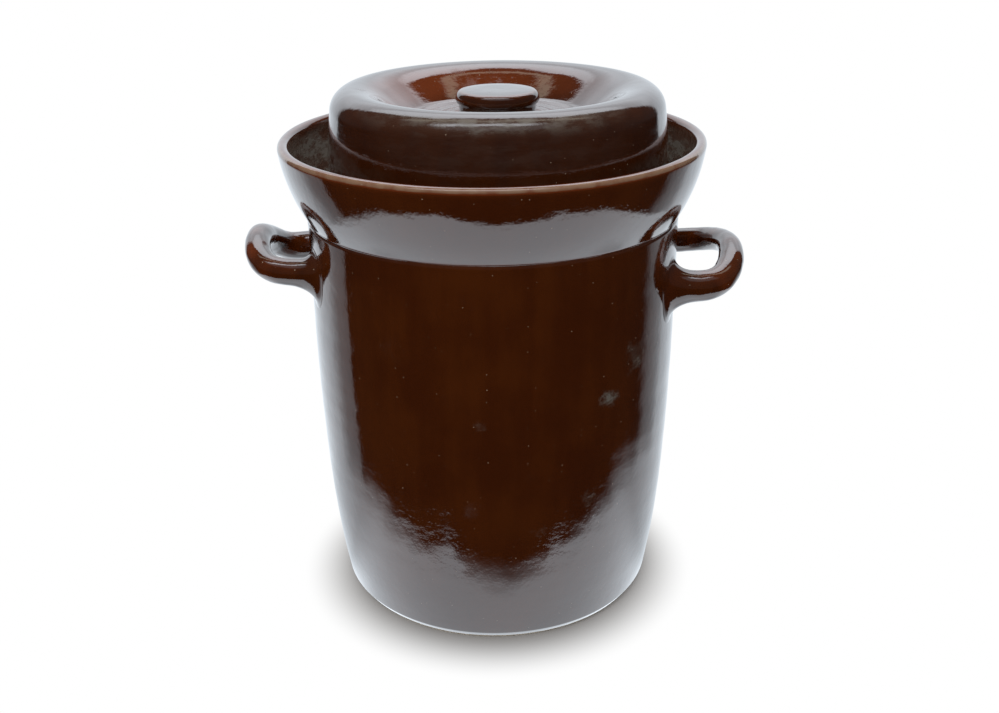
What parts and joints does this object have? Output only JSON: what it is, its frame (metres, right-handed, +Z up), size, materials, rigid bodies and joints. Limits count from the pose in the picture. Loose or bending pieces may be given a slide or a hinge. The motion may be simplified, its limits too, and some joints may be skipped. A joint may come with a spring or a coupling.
{
  "type": "water seal pickle jar",
  "caption": "Glazed stoneware fermenting crock with a flared water channel round its mouth, a dished lid that stands in it, ear handles and half-moon weight stones.",
  "frame": {"origin": "centre of the foot ring, on the surface that the jar stands on", "axes": "+Z up along the crock's axis, +X towards the right-hand ear, -Y towards the front"},
  "size_m": [0.3433, 0.2852, 0.3613],
  "materials": {
    "crock_glaze": "glossy dark brown iron glaze, red-brown where it runs thin, bare pale foot ring",
    "handle_glaze": "glossy red-brown iron glaze over a hand-rolled surface",
    "lid_glaze": "glossy dark brown iron glaze with fine pale specks",
    "bare_stoneware": "unglazed buff stoneware, slightly speckled"
  },
  "bodies": {
    "crock": {"crock_body": "crock_glaze", "channel_collar": "crock_glaze", "handle_right": "handle_glaze", "handle_left": "handle_glaze"},
    "lid": {"lid_shell": "lid_glaze", "lid_knob": "lid_glaze"},
    "stone_right": {"weight_stone_right": "bare_stoneware"},
    "stone_left": {"weight_stone_left": "bare_stoneware"}
  },
  "joints": [
    {"name": "lid_lift", "type": "slide", "parent": "crock", "child": "lid", "axis": [0, 0, 1], "range_m": [0, 0.16]},
    {"name": "stone_right_lift", "type": "slide", "parent": "crock", "child": "stone_right", "axis": [0, 0, 1], "range_m": [0, 0.2]},
    {"name": "stone_left_lift", "type": "slide", "parent": "crock", "child": "stone_left", "axis": [0, 0, 1], "range_m": [0, 0.2]}
  ]
}
